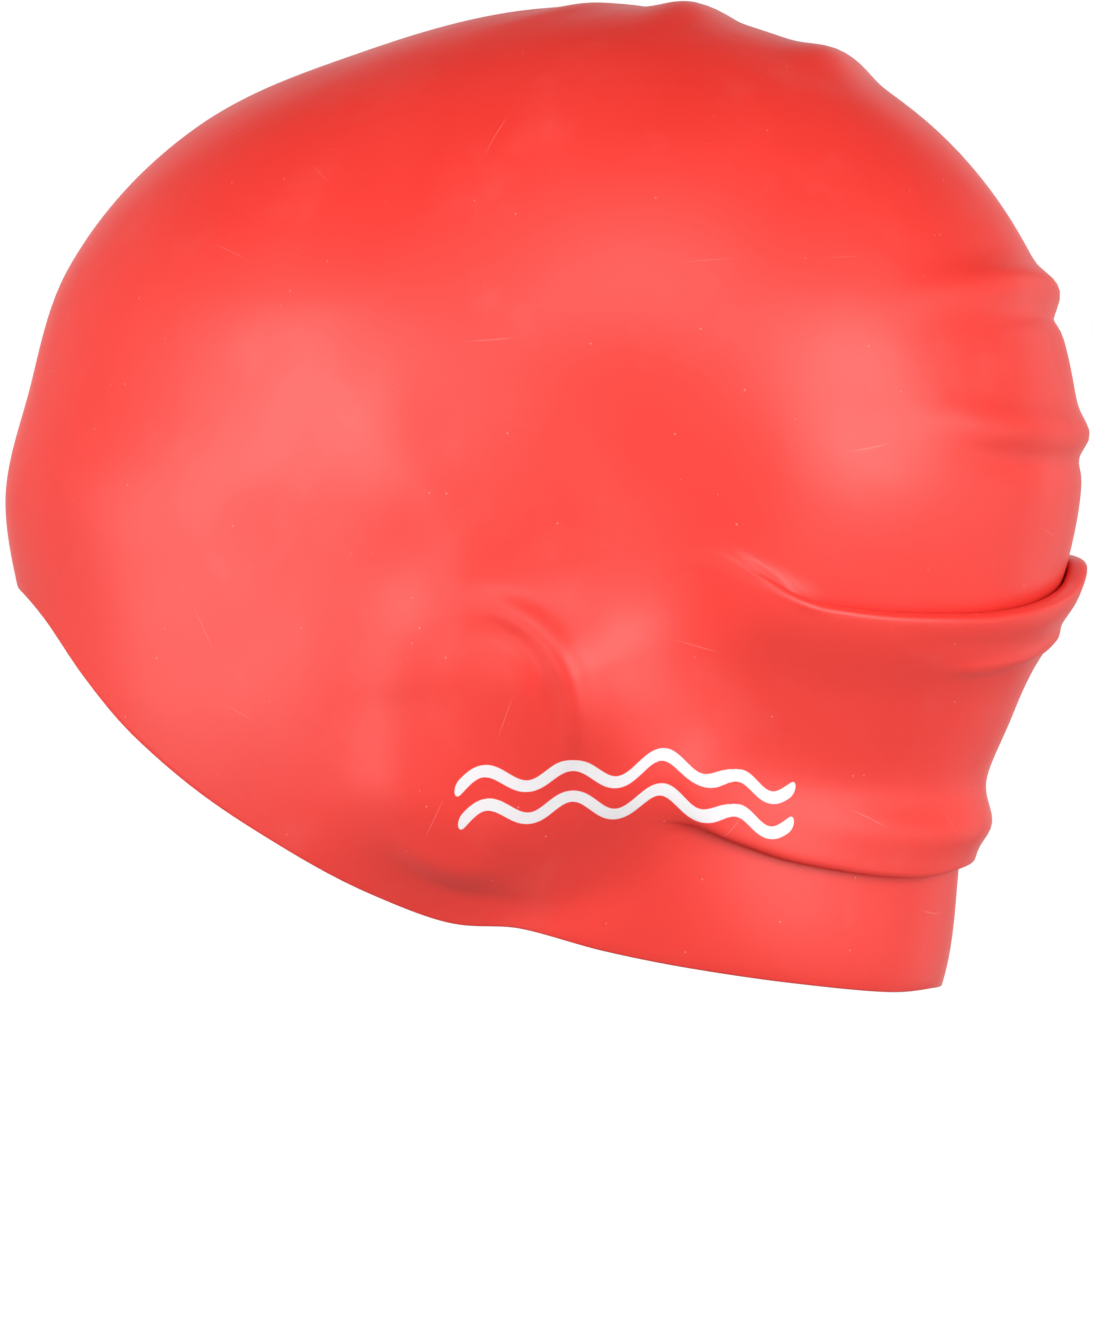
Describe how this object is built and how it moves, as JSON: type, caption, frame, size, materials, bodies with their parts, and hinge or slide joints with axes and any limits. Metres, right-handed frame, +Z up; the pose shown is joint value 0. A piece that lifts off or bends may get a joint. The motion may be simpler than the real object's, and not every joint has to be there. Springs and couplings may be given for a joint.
{
  "type": "swim cap",
  "caption": "Dome-shaped swim cap moulded in soft silicone, worn over the ears, with loose tucks folded across the back of the head.",
  "frame": {"origin": "the middle of the crown, where the top of the wearer's head seats against the sheet", "axes": "+Z up; the wearer faces -Y, so +Y runs from the brow to the back of the head; +X is the wearer's left"},
  "size_m": [0.1624, 0.2045, 0.1806],
  "materials": {
    "silicone": "satin"
  },
  "bodies": {
    "root": {"cap": "silicone"}
  },
  "joints": []
}
